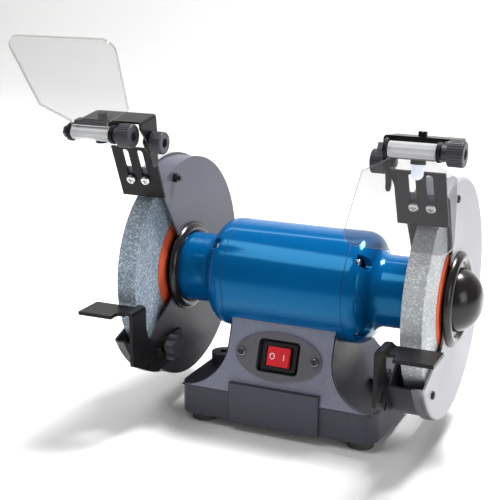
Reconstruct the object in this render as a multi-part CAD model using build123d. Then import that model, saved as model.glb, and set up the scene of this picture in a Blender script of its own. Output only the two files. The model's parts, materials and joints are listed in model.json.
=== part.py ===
"""Double-wheel bench grinder, built as separate named pieces.

Frame: millimetres, +Z up, X along the spindle, -Y towards the user.
The origin is on the bench, midway between the wheels, straight below the spindle axis.
"""
from build123d import *
import math
import os

os.makedirs("parts", exist_ok=True)

# ---------------------------------------------------------------- driving dimensions
SHAFT_Z = 145.0            # spindle axis above the bench
GAP = 0.3                  # clearance between pieces that move on each other
ON_BASE = (Align.CENTER, Align.CENTER, Align.MIN)
SEAT = 0.05                # gap between pieces that are bolted together

WHEEL_R = 100.0
WHEEL_W = 20.0
WHEEL_X = 143.0            # centre of each wheel from the middle
ARBOR_R = 8.0
BLOTTER_R = 52.5
FLANGE_R = 38.0

BARREL_R = 55.5
BARREL_HALF = 62.0
BARREL_WALL = 3.0
NECK_R = 35.5
NECK_END = 122.7
BEARING_X = 86.0
BEARING_W = 14.0
BEARING_R = 23.5

BASE_HALF_X = 104.0
BASE_FRONT = -66.0
BASE_BACK = 84.0
BASE_BOTTOM = 10.0
BASE_TOP = 41.0
BASE_CORNER = 16.0
PEDESTAL_HALF_X = 54.5
PEDESTAL_TOP = 112.0
FLARE_R = 45.0
PANEL_TOP = (-44.0, 109.5)  # y and z of the panel's upper edge
PANEL_SLOPE = 0.34         # panel leans back this far for each unit of height
PANEL_T = 2.5
PAD_HALF_X = 47.5
PAD_FRONT = -70.0
PAD_TOP = 51.0
BOLT_HOLE_X = 88.0
BOLT_HOLE_Y = 8.0
BOLT_HOLE_R = 4.25

SWITCH_Z = 80.0
PLATE_RX = 45.0
PLATE_RY = 23.7
CUP_X = 45.0
CUP_Y = 34.0
BEZEL_X = 36.5
BEZEL_Y = 28.0
ROCKER_X = 24.6
ROCKER_Y = 19.0
ROCKER_TILT = 9.0

GUARD_R = 114.0
GUARD_X = 123.0            # motor-side face of the guard's inner plate
GUARD_T = 2.0
COVER_R = 116.5
COVER_X = 158.0            # outer face of the guard's cover
GUARD_UP = 56.0            # degrees above the front where the guard's sector opens
GUARD_LOW = -31.0
COVER_UP = 67.7
HUB_R = 44.0
COVER_SCREW_R = 101.0
COVER_SCREW_ANGLES = (82.0, -44.5, 200.0)
SIDE_BOLT_R = 105.0
SIDE_BOLT_ANGLE = 71.0
CAP_RING_R = 46.0
CAP_DOME_R = 31.0
CAP_HEIGHT = 26.0
CAP_BEAD = 11.0            # width of the rolled bead round the cap

SPARK_ANGLE = 67.0         # lean of the spark plate above the horizontal
SPARK_SCREW = (-71.0, 104.0)
SPARK_SCREW_X = (133.3, 149.0)
SPARK_X = (117.0, 163.5)
SPARK_T = 2.0
SPARK_LOW = -20.0
SPARK_HIGH = 36.0
SLOT_HALF = 3.2
SLOT_HIGH = 32.0

PIVOT_Y = -94.5            # bracket pivot, from the spindle axis
PIVOT_Z = 144.5
EAR_R = 8.0
BRACKET_X = 114.5
BRACKET_T = 2.0
WEB_Z = 22.0
WEB_BACK = 12.0
WEB_FRONT = 18.0
WEB_END = 178.0
TILT_RIGHT = 6.0           # degrees, front of the bracket raised
TILT_LEFT = -8.0

UNIT_RIGHT = 122.5         # left end of the shield barrel on each head
UNIT_LEFT = -182.0
BARREL_LEN = 41.0
BOLT_FWD = 26.0            # shield bolt, ahead of and above the bracket pivot
BOLT_UP = 13.0
SHIELD_BARREL_R = 7.0
SHIELD_BOLT_R = 3.0
SHIELD_T = 3.0
SHIELD_UP = 60.0           # elevation of the raised shield
SHIELD_DOWN = -63.0
SHIELD_SMALL = (81.0, 96.0, 21.0, 85.0)   # width at the shoulders and the far edge, and how far out each lies
SHIELD_LARGE = (94.0, 112.0, 30.0, 105.0)

TABLE_X = (133.0, 174.0)
TABLE_Y = (-137.0, -102.3)
TABLE_Z = -17.0
REST_T = 3.5
NECK_UP = 3.0
REST_TRAVEL = 14.0
REST_OUT_LEFT = 1.0        # how far the left tool rest is drawn out
KNOB_POS = (-62.0, -69.0)
GUIDE_POS = (-84.0, -69.0)


# ---------------------------------------------------------------- helpers
def cyl_x(r, x0, x1, y=0.0, z=0.0):
    """A cylinder along X between x0 and x1."""
    low, high = min(x0, x1), max(x0, x1)
    return Pos(low, y, z) * Rot(0, 90, 0) * Cylinder(r, high - low, align=ON_BASE)


def tube_x(r_out, r_in, x0, x1, y=0.0, z=0.0):
    """A plain ring along X."""
    return cyl_x(r_out, x0, x1, y, z) - cyl_x(r_in, x0 - 1, x1 + 1, y, z)


def box(x0, x1, y0, y1, z0, z1):
    """A box given by its limits."""
    centre = Pos((x0 + x1) / 2, (y0 + y1) / 2, (z0 + z1) / 2)
    return centre * Box(abs(x1 - x0), abs(y1 - y0), abs(z1 - z0))


def yz_plate(outline, x0, x1):
    """Extrude a closed outline of (y, z) points, or a face drawn in (y, z), from x0 to x1."""
    face = Polygon(*outline, align=None) if isinstance(outline, list) else outline
    return extrude(Plane.YZ.offset(x0) * face, amount=x1 - x0, dir=(1, 0, 0))


def turned_x(points):
    """Revolve a closed outline of (x, radius) points about the X axis."""
    face = make_face(Polyline(*points, close=True))
    return revolve(face, Axis.X, 360)


def hex_x(across, x0, x1, y=0.0, z=0.0):
    """A hexagon prism along X."""
    face = Plane.YZ.offset(x0) * Pos(y, z) * RegularPolygon(across / 2, 6, major_radius=False)
    return extrude(face, amount=x1 - x0, dir=(1, 0, 0))


def polar(radius, degrees):
    """(y, z) at an angle measured from the front, upwards."""
    a = math.radians(degrees)
    return (-radius * math.cos(a), radius * math.sin(a))


def lift(part):
    """Move a piece drawn about the spindle axis to its height above the bench."""
    return Pos(0, 0, SHAFT_Z) * part


def mirrored(part):
    """The left-hand twin of a right-hand piece."""
    return mirror(part, about=Plane.YZ)


def group(parts):
    """Separate solids kept together in one node."""
    solids = []
    for part in parts:
        solids.extend(part.solids())
    return Compound(children=solids)


def knurled_knob(r, x0, x1, teeth, recess_end):
    """A round knob along X with a toothed rim and a recessed end face."""
    body = cyl_x(r, x0, x1)
    body = chamfer(body.edges().filter_by(GeomType.CIRCLE), 0.8)
    tooth_r = 2 * math.pi * r / teeth / 3.4
    for i in range(teeth):
        a = 2 * math.pi * i / teeth
        reach = r + tooth_r * 0.35
        body -= cyl_x(tooth_r, x0 + 1.6, x1 - 1.6, reach * math.cos(a), reach * math.sin(a))
    deep = (x1 - 4, x1 + 1) if recess_end > 0 else (x0 - 1, x0 + 4)
    return body - cyl_x(r * 0.42, deep[0], deep[1])


def pan_head(r, length, shank_r, shank):
    """A pan-head screw with a cross recess: head along +Z from 0, shank below."""
    head = Cylinder(r, length, align=ON_BASE)
    head = fillet(head.edges().sort_by(Axis.Z)[-1], length * 0.6)
    for turn in (0, 90):
        head -= Pos(0, 0, length) * Rot(0, 0, turn) * Box(r * 1.1, r * 0.26, length * 0.9)
    return head + Pos(0, 0, -shank) * Cylinder(shank_r, shank, align=ON_BASE)


# ---------------------------------------------------------------- base
def panel_y(z):
    """Depth of the leaning front face at a height."""
    return PANEL_TOP[0] - (PANEL_TOP[1] - z) * PANEL_SLOPE


def panel_frame(z, out=0.0):
    """A frame on the leaning front face: X along the object, Y up the face, Z outwards."""
    size = math.hypot(1.0, PANEL_SLOPE)
    normal = Vector(0, -1 / size, PANEL_SLOPE / size)
    origin = Vector(0, panel_y(z), z) + normal * out
    return Plane(origin=origin, x_dir=(1, 0, 0), z_dir=normal)


def flare_outline():
    """Front view of the pedestal: straight sides that flare out to the base in an arc."""
    w, top, foot = PEDESTAL_HALF_X, PEDESTAL_TOP, BASE_TOP
    centre_x, centre_z = w + FLARE_R, foot + FLARE_R
    mid = FLARE_R * math.sqrt(0.5)
    right = ThreePointArc((w, centre_z), (centre_x - mid, centre_z - mid), (centre_x, foot))
    left = ThreePointArc((-w, centre_z), (mid - centre_x, centre_z - mid), (-centre_x, foot))
    lines = [
        Line((-w, top), (w, top)),
        Line((w, top), (w, centre_z)),
        Line((-w, top), (-w, centre_z)),
        Line((centre_x, foot), (centre_x, foot - 2)),
        Line((-centre_x, foot), (-centre_x, foot - 2)),
        Line((-centre_x, foot - 2), (centre_x, foot - 2)),
    ]
    return make_face(Curve() + [right, left] + lines)


def pedestal_block():
    """The flared pedestal as a full block between its leaning front and back faces."""
    depth = BASE_BACK - BASE_FRONT + 10
    block = extrude(Plane.XZ.offset(-BASE_BACK) * flare_outline(), amount=depth, dir=(0, -1, 0))
    reach = 400
    front = panel_frame(SWITCH_Z) * Pos(0, 0, reach / 2) * Box(reach, reach, reach)
    back_slope = 0.42
    lean = math.degrees(math.atan(back_slope))
    back = Pos(0, BASE_BACK - 1, BASE_TOP) * Rot(lean, 0, 0) * Pos(0, reach / 2, 0) * Box(reach, reach, reach)
    return block - front - back


def base_casting():
    """Cast base: foot block, flared pedestal, front pad and the bosses of the bench bolts."""
    foot = box(-BASE_HALF_X, BASE_HALF_X, BASE_FRONT, BASE_BACK, BASE_BOTTOM, BASE_TOP)
    foot = fillet(foot.edges().filter_by(Axis.Z), BASE_CORNER)
    foot = fillet(foot.faces().sort_by(Axis.Z)[-1].edges(), 1.5)
    pad = box(-PAD_HALF_X, PAD_HALF_X, PAD_FRONT, BASE_FRONT + 12, BASE_BOTTOM, PAD_TOP)
    pad = fillet(pad.edges().filter_by(Axis.Z).sort_by(Axis.Y)[:2], 2)
    seat = panel_frame(SWITCH_Z, -PANEL_T - SEAT) * Pos(0, 0, 100) * Box(400, 400, 200)
    pedestal = pedestal_block() - seat
    casting = foot + pedestal + pad
    for side in (-1, 1):
        boss = Pos(side * BOLT_HOLE_X, BOLT_HOLE_Y, BASE_TOP - 4)
        casting += boss * Cylinder(13, 15, align=ON_BASE)
    casting -= lift(cyl_x(BARREL_R + SEAT, -200, 200))
    wall = 5.0
    half_x = BASE_HALF_X - wall
    cavity = box(-half_x, half_x, BASE_FRONT + wall, BASE_BACK - wall, 0, BASE_TOP - wall)
    cavity = fillet(cavity.edges().filter_by(Axis.Z), BASE_CORNER - wall)
    casting -= cavity
    inside_x = PEDESTAL_HALF_X - 6
    casting -= box(-inside_x, inside_x, -46, 60, BASE_BOTTOM, SHAFT_Z - BARREL_R - 5)
    for x, y in foot_places():
        casting += Pos(x, y, BASE_BOTTOM + 2) * Cylinder(8, 26, align=ON_BASE)
        casting -= Pos(x, y, BASE_BOTTOM) * Cylinder(2.6, 20, align=ON_BASE)
    for side in (-1, 1):
        post = Pos(side * BOLT_HOLE_X, BOLT_HOLE_Y, BASE_BOTTOM + 2)
        casting += post * Cylinder(9, 30, align=ON_BASE)
        casting -= Pos(side * BOLT_HOLE_X, BOLT_HOLE_Y, 30) * Cylinder(BOLT_HOLE_R, 90)
    casting -= panel_frame(SWITCH_Z) * Pos(0, 0, -20) * Box(CUP_X + 1, CUP_Y + 1, 60)
    casting -= Pos(-55, BASE_BACK, 26) * Rot(90, 0, 0) * Cylinder(8.2, 30)
    casting -= Pos(0, 0, SHAFT_Z - BARREL_R) * Cylinder(8, 20)
    return casting


def foot_places():
    """Centres of the rubber feet."""
    return [(x, y) for x in (-84, 84) for y in (-46, 64)]


def front_panel():
    """Flat plate that covers the leaning front of the pedestal."""
    slab = panel_frame(SWITCH_Z, -PANEL_T / 2) * Box(400, 400, PANEL_T)
    panel = pedestal_block() & slab
    panel -= box(-PAD_HALF_X - SEAT, PAD_HALF_X + SEAT, PAD_FRONT - 5, 0, 0, PAD_TOP + SEAT)
    panel -= box(-200, 200, -200, 200, 0, BASE_TOP + SEAT)
    panel -= lift(cyl_x(BARREL_R + SEAT, -200, 200))
    panel -= panel_frame(SWITCH_Z) * Box(CUP_X + 0.4, CUP_Y + 0.4, 60)
    for x in (-38.3, 38.3):
        panel -= panel_frame(SWITCH_Z) * Pos(x, 0, 0) * Cylinder(2.1, 60)
    return panel


def rubber_feet():
    """Four round rubber feet, each with a counterbore for its screw."""
    feet = []
    for x, y in foot_places():
        foot = Cone(13.0, 12.0, BASE_BOTTOM - SEAT, align=ON_BASE)
        foot -= Cylinder(5, 8, align=(Align.CENTER, Align.CENTER, Align.CENTER))
        foot -= Cylinder(2.6, 40)
        feet.append(Pos(x, y, 0) * foot)
    return group(feet)


def foot_screws():
    """Screws that hold the feet and the bottom cover to the base."""
    screw = Rot(180, 0, 0) * pan_head(4.4, 2.6, 2.5, 22)
    return group([Pos(x, y, 3.6) * screw for x, y in foot_places()])


def bottom_cover():
    """Sheet that closes the underside of the base."""
    inset = 5.3
    z0, z1 = BASE_BOTTOM, BASE_BOTTOM + 1.5
    cover = box(-BASE_HALF_X + inset, BASE_HALF_X - inset, BASE_FRONT + inset, BASE_BACK - inset, z0, z1)
    cover = fillet(cover.edges().filter_by(Axis.Z), BASE_CORNER - inset)
    for x, y in foot_places():
        cover -= Pos(x, y, 0) * Cylinder(2.7, 60)
    for side in (-1, 1):
        cover -= Pos(side * BOLT_HOLE_X, BOLT_HOLE_Y, 0) * Cylinder(BOLT_HOLE_R + 0.4, 60)
    return cover


# ---------------------------------------------------------------- switch and wiring
def switch_plate():
    """Oval plate round the switch, with a rectangular window."""
    frame = panel_frame(SWITCH_Z, SEAT)
    plate = extrude(frame * Ellipse(PLATE_RX, PLATE_RY), amount=2.0)
    plate = fillet(plate.edges().filter_by(GeomType.ELLIPSE).sort_by(Axis.Y)[:1], 0.8)
    plate -= extrude(frame * RectangleRounded(CUP_X - 1, CUP_Y - 1, 5), amount=10, both=True)
    for x in (-38.3, 38.3):
        plate -= frame * Pos(x, 0, 0) * Cylinder(2.1, 20)
    return plate


def switch_plate_screws():
    """Two cross-head screws of the oval plate."""
    frame = panel_frame(SWITCH_Z, SEAT + 2.0 + SEAT)
    return group([frame * Pos(x, 0, 0) * pan_head(4.3, 2.4, 2.0, 4.3) for x in (-38.3, 38.3)])


def switch_cup():
    """Dust cup sunk into the panel behind the oval plate."""
    frame = panel_frame(SWITCH_Z)
    cup = frame * Pos(0, 0, -3.2) * Box(CUP_X, CUP_Y, 6.2)
    cup -= frame * Pos(0, 0, -1.7) * Box(CUP_X - 3, CUP_Y - 3, 6.4)
    return cup - frame * Box(31, 23.4, 40)


def switch_housing():
    """Body and bezel of the rocker switch."""
    frame = panel_frame(SWITCH_Z)
    bezel = Pos(0, 0, -4.7) * extrude(RectangleRounded(BEZEL_X, BEZEL_Y, 3), amount=3.2)
    bezel = frame * fillet(bezel.faces().sort_by(Axis.Z)[-1].edges(), 0.7)
    body = frame * Pos(0, 0, -16) * Box(30.6, 23, 24)
    housing = bezel + body
    housing -= frame * Pos(0, 0, -4) * Box(ROCKER_X + 3.4, ROCKER_Y + 1.0, 12)
    for x in (-9, 0, 9):
        housing += frame * Pos(x, 0, -31) * Box(0.8, 6.3, 7)
    return housing


def switch_rocker():
    """Rocker with two faces that meet in a shallow valley, tipped to its off side."""
    half = ROCKER_X / 2
    outline = [(-half, 3.2), (0, 1.5), (half, 3.2), (half, -1.0), (4, -3.6), (-4, -3.6), (-half, -1.0)]
    face = Plane.XZ * Polygon(*outline, align=None)
    body = extrude(face, amount=ROCKER_Y / 2, both=True)
    body = fillet(body.edges().filter_by(Axis.Y).sort_by(Axis.Z)[-2:], 0.8)
    pivot = Pos(0, 0, -4.0)
    return panel_frame(SWITCH_Z) * pivot * Rot(0, -ROCKER_TILT, 0) * Pos(0, 0, 2.0) * body


def run_capacitor():
    """Motor capacitor lying in the pedestal."""
    can = cyl_x(15, -30, 26, 34, 58)
    can = fillet(can.edges(), 1.5)
    tabs = box(26, 33, 29, 30, 55, 61) + box(26, 33, 38, 39, 55, 61)
    return can + tabs


def terminal_block():
    """Screw terminal block on the bottom cover."""
    block = box(-24, 24, -8, 8, BASE_BOTTOM + 1.6, BASE_BOTTOM + 13)
    for i in range(4):
        x = -18 + 12 * i
        block -= Pos(x, 0, BASE_BOTTOM + 13) * Cylinder(3, 12)
        block -= Pos(x, 0, BASE_BOTTOM + 6) * Rot(90, 0, 0) * Cylinder(2, 20)
    return block


def cable_gland():
    """Gland of the mains inlet in the back of the base."""
    body = Cylinder(8.0, 26) + Pos(0, 0, 8) * extrude(RegularPolygon(10.5, 6), amount=6)
    body += Pos(0, 0, 14) * Cone(9.0, 7.0, 9, align=ON_BASE)
    body += Pos(0, 0, -10) * extrude(RegularPolygon(10.5, 6), amount=4)
    body -= Cylinder(4.2, 80)
    return Pos(-55, BASE_BACK - 7.9, 26) * Rot(-90, 0, 0) * body


# ---------------------------------------------------------------- motor
def through_bolt_places():
    """(y, z) of the motor's through-bolts about the spindle axis."""
    return [polar(47.5, a) for a in (45, 135, 225, 315)]


def motor_barrel():
    """Tube of the motor housing."""
    tube = tube_x(BARREL_R, BARREL_R - BARREL_WALL, -BARREL_HALF + SEAT, BARREL_HALF - SEAT)
    tube -= Pos(0, 0, -BARREL_R) * Cylinder(7, 30)
    return lift(tube)


def end_bell():
    """Right-hand end bell: rounded shoulder, bearing neck and bolt pockets."""
    outer = [
        Line((BARREL_HALF, 0), (BARREL_HALF, BARREL_R)),
        Line((BARREL_HALF, BARREL_R), (67, BARREL_R)),
        ThreePointArc((67, BARREL_R), (77.6, 51.6), (83, 42)),
        ThreePointArc((83, 42), (87, 37.4), (93, NECK_R)),
        Line((93, NECK_R), (NECK_END, NECK_R)),
        Line((NECK_END, NECK_R), (NECK_END, 0)),
        Line((NECK_END, 0), (BARREL_HALF, 0)),
    ]
    bell = revolve(make_face(Curve() + outer), Axis.X, 360)
    bell -= turned_x([(61, 0), (61, 50.5), (70, 50.5), (BEARING_X, 30), (BEARING_X, 0)])
    bell -= cyl_x(BEARING_R + SEAT, BEARING_X - 1, BEARING_X + BEARING_W)
    bell -= cyl_x(12, 80, 130)
    spigot = tube_x(BARREL_R - BARREL_WALL - SEAT, 49.5, BARREL_HALF - 3, BARREL_HALF + 1)
    bell += spigot
    for y, z in through_bolt_places():
        bell += cyl_x(6.5, BARREL_HALF, 71, y, z) & cyl_x(BARREL_R, BARREL_HALF, 80)
        for out in (1.0, 1.1, 1.2):
            bell -= cyl_x(6.2, 71, 100, y * out, z * out)
        bell -= cyl_x(2.7, 50, 80, y, z)
    for a in (90, 210, 330):
        y, z = polar(29, a)
        bell -= cyl_x(2.6, 108, 130, y, z)
    return lift(bell)


def through_bolts():
    """Four long bolts that clamp the end bells to the barrel, with their nuts."""
    bolts = []
    for y, z in through_bolt_places():
        head = cyl_x(4.6, 71 + SEAT, 74.4, y, z)
        head = fillet(head.edges().sort_by(Axis.X)[-1], 1.6)
        bolt = head + cyl_x(2.5, -75, 72, y, z)
        nut = hex_x(8, -74.4, -71 - SEAT, y, z) - cyl_x(2.55, -80, -70, y, z)
        bolts += [lift(bolt), lift(nut)]
    return group(bolts)


def stator_core():
    """Laminated stator with bolt notches and winding slots."""
    core = tube_x(BARREL_R - BARREL_WALL - SEAT, 27, -35, 35)
    for y, z in through_bolt_places():
        core -= cyl_x(4, -40, 40, y, z)
    for i in range(18):
        y, z = polar(33.5, i * 20)
        core -= cyl_x(3.4, -40, 40, y, z)
    return lift(core)


def stator_windings():
    """End turns of the stator windings on both ends of the core."""
    ends = []
    for side in (-1, 1):
        ring = tube_x(41, 29.5, 35.2, 50)
        ring = fillet(ring.edges(), 2.5)
        ends.append(lift(ring if side > 0 else mirrored(ring)))
    return group(ends)


def bearing_outer_races():
    """Outer races of the two ball bearings, pressed into the end bells."""
    race = tube_x(BEARING_R, 18.2, BEARING_X + 0.1, BEARING_X + BEARING_W - 0.1)
    race -= lift_ring(16.6, 2.2, BEARING_X + BEARING_W / 2)
    return group([lift(race), lift(mirrored(race))])


def lift_ring(radius, tube_r, x):
    """A torus about the X axis, used for ball tracks."""
    return Pos(x, 0, 0) * Rot(0, 90, 0) * Torus(radius, tube_r)


# ---------------------------------------------------------------- spindle
def spindle_shaft():
    """Shaft with a journal at each bearing and an arbor at each end."""
    half = [(0, 0), (0, 12), (70, 12), (70, 11.5), (85.5, 11.5), (85.5, 9.97), (125, 9.97)]
    half += [(125, ARBOR_R - 0.05)]
    half += [(165, ARBOR_R - 0.05), (167, ARBOR_R - 2), (167, 0)]
    shaft = turned_x(half)
    return lift(shaft + mirrored(shaft))


def rotor_core():
    """Squirrel-cage rotor on the shaft, with its end rings."""
    core = tube_x(26.6, 12.05, -35, 35)
    for side in (-1, 1):
        ring = tube_x(25, 16, 35, 41) if side > 0 else tube_x(25, 16, -41, -35)
        core += ring
    for i in range(12):
        a = i * 30
        y, z = polar(20.5, a)
        core += box(41, 45, y - 0.9, y + 0.9, z - 2.4, z + 2.4)
    return lift(core)


def bearing_inner_races():
    """Inner races and balls of the two bearings, which turn with the shaft."""
    parts = []
    middle = BEARING_X + BEARING_W / 2
    race = tube_x(14.6, 10.0, BEARING_X + 0.3, BEARING_X + BEARING_W - 0.3)
    for i in range(8):
        y, z = polar(15.8, i * 45)
        race += Pos(middle, y, z) * Sphere(2.1)
    for part in (race, mirrored(race)):
        parts.append(lift(part))
    return group(parts)


def grinding_wheel():
    """Right-hand abrasive wheel with slightly broken corners."""
    x0, x1 = WHEEL_X - WHEEL_W / 2, WHEEL_X + WHEEL_W / 2
    wheel = cyl_x(WHEEL_R, x0, x1)
    wheel = chamfer(wheel.edges(), 0.6)
    return lift(wheel - cyl_x(ARBOR_R, 100, 180))


def blotters():
    """Card washers on both faces of both wheels."""
    parts = []
    for x0 in (WHEEL_X - WHEEL_W / 2 - 0.85, WHEEL_X + WHEEL_W / 2 + 0.05):
        disc = tube_x(BLOTTER_R, ARBOR_R, x0, x0 + 0.8)
        parts += [lift(disc), lift(mirrored(disc))]
    return group(parts)


def inner_flange():
    """Dished clamp flange on the motor side of the right wheel."""
    face = WHEEL_X - WHEEL_W / 2 - 0.9
    points = [(face, ARBOR_R), (face, FLANGE_R), (face - 1.6, FLANGE_R), (face - 3.8, FLANGE_R - 9)]
    points += [(face - 3.8, 16), (125.05, 16), (125.05, ARBOR_R)]
    flange = turned_x(points)
    return flange - turned_x([(face - 1, 20), (face + 1, 20), (face + 1, FLANGE_R - 5), (face - 1, FLANGE_R - 5)])


def outer_flange():
    """Dished clamp flange under the nut of the right wheel."""
    face = WHEEL_X + WHEEL_W / 2 + 0.9
    points = [(face, ARBOR_R), (face, FLANGE_R), (face + 1.2, FLANGE_R), (face + 3.4, FLANGE_R - 9)]
    points += [(face + 3.4, ARBOR_R)]
    return turned_x(points)


def inner_flanges():
    return group([lift(inner_flange()), lift(mirrored(inner_flange()))])


def outer_flanges():
    return group([lift(outer_flange()), lift(mirrored(outer_flange()))])


def spindle_nuts():
    """Hexagon nuts on the ends of the spindle."""
    x0 = WHEEL_X + WHEEL_W / 2 + 4.35
    nut = hex_x(24, x0, x0 + 6.5) - cyl_x(ARBOR_R, x0 - 1, x0 + 9)
    return group([lift(nut), lift(mirrored(nut))])


# ---------------------------------------------------------------- guards
def sector_cut(upper, lower, inner_r, x0, x1):
    """The open sector at the front of a guard, outside a hub radius."""
    far = 300
    front = [(-far, far * 0.4), (-far, -far * 0.4)]
    wedge = yz_plate([(0, 0), polar(far, upper), *front, polar(far, lower)], x0, x1)
    return wedge - cyl_x(inner_r, x0 - 1, x1 + 1)


def wheel_guard():
    """Right-hand guard: inner plate, rim band, spark tab and the cover's lugs."""
    plate = cyl_x(GUARD_R, GUARD_X, GUARD_X + GUARD_T)
    band = tube_x(GUARD_R, GUARD_R - GUARD_T, GUARD_X, COVER_X - GUARD_T - SEAT)
    guard = plate + band - sector_cut(GUARD_UP, GUARD_LOW, HUB_R, GUARD_X - 1, COVER_X + 1)
    guard -= cyl_x(19, 110, 130)
    for a in COVER_SCREW_ANGLES:
        lug = box(COVER_X - GUARD_T - 1.9, COVER_X - GUARD_T - SEAT, -GUARD_R + 1, -COVER_SCREW_R + 6, -6, 6)
        lug -= cyl_x(1.9, 140, 170, -COVER_SCREW_R, 0)
        guard += Rot(-a, 0, 0) * lug
    guard += spark_tab()
    for a in (90, 210, 330):
        y, z = polar(29, a)
        guard -= cyl_x(2.6, 110, 130, y, z)
    guard -= cyl_x(2.45, 110, 130, *polar(SIDE_BOLT_R, SIDE_BOLT_ANGLE))
    guard -= cyl_x(3.08, 110, 130, *KNOB_POS)
    guard -= cyl_x(2.95, 110, 130, *GUIDE_POS)
    return lift(guard)


def spark_frame(u, out):
    """A frame on the spark plate: X along the object, Y up the plate, Z out to the front."""
    a = math.radians(SPARK_ANGLE)
    up = Vector(0, -math.cos(a), math.sin(a))
    normal = Vector(0, -math.sin(a), -math.cos(a))
    origin = Vector(0, SPARK_SCREW[0], SPARK_SCREW[1]) + up * u + normal * out
    return Plane(origin=origin, x_dir=(1, 0, 0), z_dir=normal)


def spark_tab():
    """Tab on the guard that the spark plate is screwed to."""
    x0, x1 = GUARD_X + 2.5, COVER_X - 3
    tab = spark_frame(-0.5, -1.0) * Pos((x0 + x1) / 2, 0, 0) * Box(x1 - x0, 25, 2.0)
    bridge = spark_frame(-11.5, -3.2) * Pos((x0 + x1) / 2, 0, 0) * Box(x1 - x0, 3, 6.4)
    tab += bridge - cyl_x(GUARD_R - GUARD_T, 100, 200)
    for x in SPARK_SCREW_X:
        tab -= spark_frame(0, 0) * Pos(x, 0, 0) * Cylinder(2.6, 20)
    return tab


def cover_cut(x0, x1):
    """Front opening of the guard's outer cover."""
    far = 300
    points = [(-19.5, 48), polar(far, COVER_UP), (-far, far), (-far, -110)]
    points += [(-191, -87.7), (-42, -36), (-19.5, 10)]
    return yz_plate(points, x0, x1)


def guard_cover():
    """Right-hand outer cover: a dished disc with a rounded rim over the guard's band."""
    disc = cyl_x(COVER_R, COVER_X - 12, COVER_X)
    disc = fillet(disc.edges().sort_by(Axis.X)[-1], 5)
    inside = cyl_x(GUARD_R + SEAT, COVER_X - 13, COVER_X - GUARD_T)
    disc -= inside
    disc -= cyl_x(CAP_RING_R - 5, COVER_X - 13, COVER_X + 1)
    disc -= cover_cut(COVER_X - 20, COVER_X + 5)
    for a in COVER_SCREW_ANGLES:
        y, z = polar(COVER_SCREW_R, a)
        disc -= cyl_x(2.0, COVER_X - 5, COVER_X + 5, y, z)
    return lift(disc)


def guard_cap():
    """Right-hand pressed cap over the spindle nut: a rolled bead round a dome."""
    x0 = COVER_X + SEAT
    face = x0 + 3.0
    top = x0 + CAP_HEIGHT
    bead_r = CAP_RING_R - CAP_BEAD / 2
    valley_r = CAP_RING_R - CAP_BEAD
    flat_r = 1.2
    edge = [
        Line((x0, CAP_DOME_R - 2), (x0, CAP_RING_R)),
        ThreePointArc((x0, CAP_RING_R), (x0 + 6.5, bead_r), (face, valley_r)),
        Line((face, valley_r), (face, CAP_DOME_R)),
        ThreePointArc((face, CAP_DOME_R), (face + 15.6, CAP_DOME_R * 0.73), (top, flat_r)),
        Line((top, flat_r), (top, 0)),
        Line((top, 0), (top - 1.8, 0)),
        Line((top - 1.8, 0), (top - 1.8, flat_r)),
        ThreePointArc((top - 1.8, flat_r), (face + 14.3, CAP_DOME_R * 0.69), (face - 1.8, CAP_DOME_R - 2)),
        Line((face - 1.8, CAP_DOME_R - 2), (x0, CAP_DOME_R - 2)),
    ]
    return lift(revolve(make_face(Curve() + edge), Axis.X, 360))


def guard_caps():
    return group([guard_cap(), mirrored(guard_cap())])


def guard_cover_screws():
    """Three black screws in each outer cover, and the black bolt high on the motor side of each guard."""
    screws = []
    for a in COVER_SCREW_ANGLES:
        y, z = polar(COVER_SCREW_R, a)
        screw = Pos(COVER_X + SEAT, y, z) * Rot(0, 90, 0) * pan_head(3.9, 2.5, 1.85, 3.8)
        screws += [lift(screw), lift(mirrored(screw))]
    y, z = polar(SIDE_BOLT_R, SIDE_BOLT_ANGLE)
    bolt = hex_x(8, GUARD_X - 4.5, GUARD_X - SEAT, y, z)
    bolt += cyl_x(2.4, GUARD_X - 8, GUARD_X + GUARD_T + 1, y, z)
    screws += [lift(bolt), lift(mirrored(bolt))]
    return group(screws)


def guard_mount_screws():
    """Three screws that hold each guard to the neck of its end bell."""
    screws = []
    for a in (90, 210, 330):
        y, z = polar(29, a)
        screw = Pos(GUARD_X + GUARD_T + SEAT, y, z) * Rot(0, 90, 0) * pan_head(4.4, 2.2, 2.5, 15)
        screws += [lift(screw), lift(mirrored(screw))]
    return group(screws)


def spark_screws():
    """Two silver screws through the slots of each spark plate."""
    screws = []
    for x in SPARK_SCREW_X:
        screw = spark_frame(0, 2 * GAP + SPARK_T) * Pos(x, 0, 0) * pan_head(4.9, 3.2, 2.5, 4.5)
        screws += [lift(screw), lift(mirrored(screw))]
    return group(screws)


def rest_fasteners():
    """Headed guide pin of each tool rest, and the nut that its star knob screws into."""
    y, z = GUIDE_POS
    x = GUARD_X - 2 * GAP - REST_T
    bolt = hex_x(9, x - 3.4, x, y, z) + cyl_x(2.9, x - 1, GUARD_X + 3.5, y, z)
    y, z = KNOB_POS
    x = GUARD_X + GUARD_T + SEAT
    nut = hex_x(10, x, x + 4, y, z) - cyl_x(3.08, x - 1, x + 6, y, z)
    return group([lift(bolt), lift(nut), lift(mirrored(bolt)), lift(mirrored(nut))])


def guard_collars():
    """Pressed black collar round each neck, on the motor side of the guard."""
    face = GUARD_X - SEAT
    edge = [
        Line((face, NECK_R + 0.6), (face, 46)),
        Line((face, 46), (face - 1.2, 46)),
        ThreePointArc((face - 1.2, 46), (face - 5.2, 42.5), (face - 5.6, 38.5)),
        Line((face - 5.6, 38.5), (face - 4.0, NECK_R + 0.6)),
        Line((face - 4.0, NECK_R + 0.6), (face, NECK_R + 0.6)),
    ]
    collar = revolve(make_face(Curve() + edge), Axis.X, 360)
    return group([lift(collar), lift(mirrored(collar))])


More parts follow.
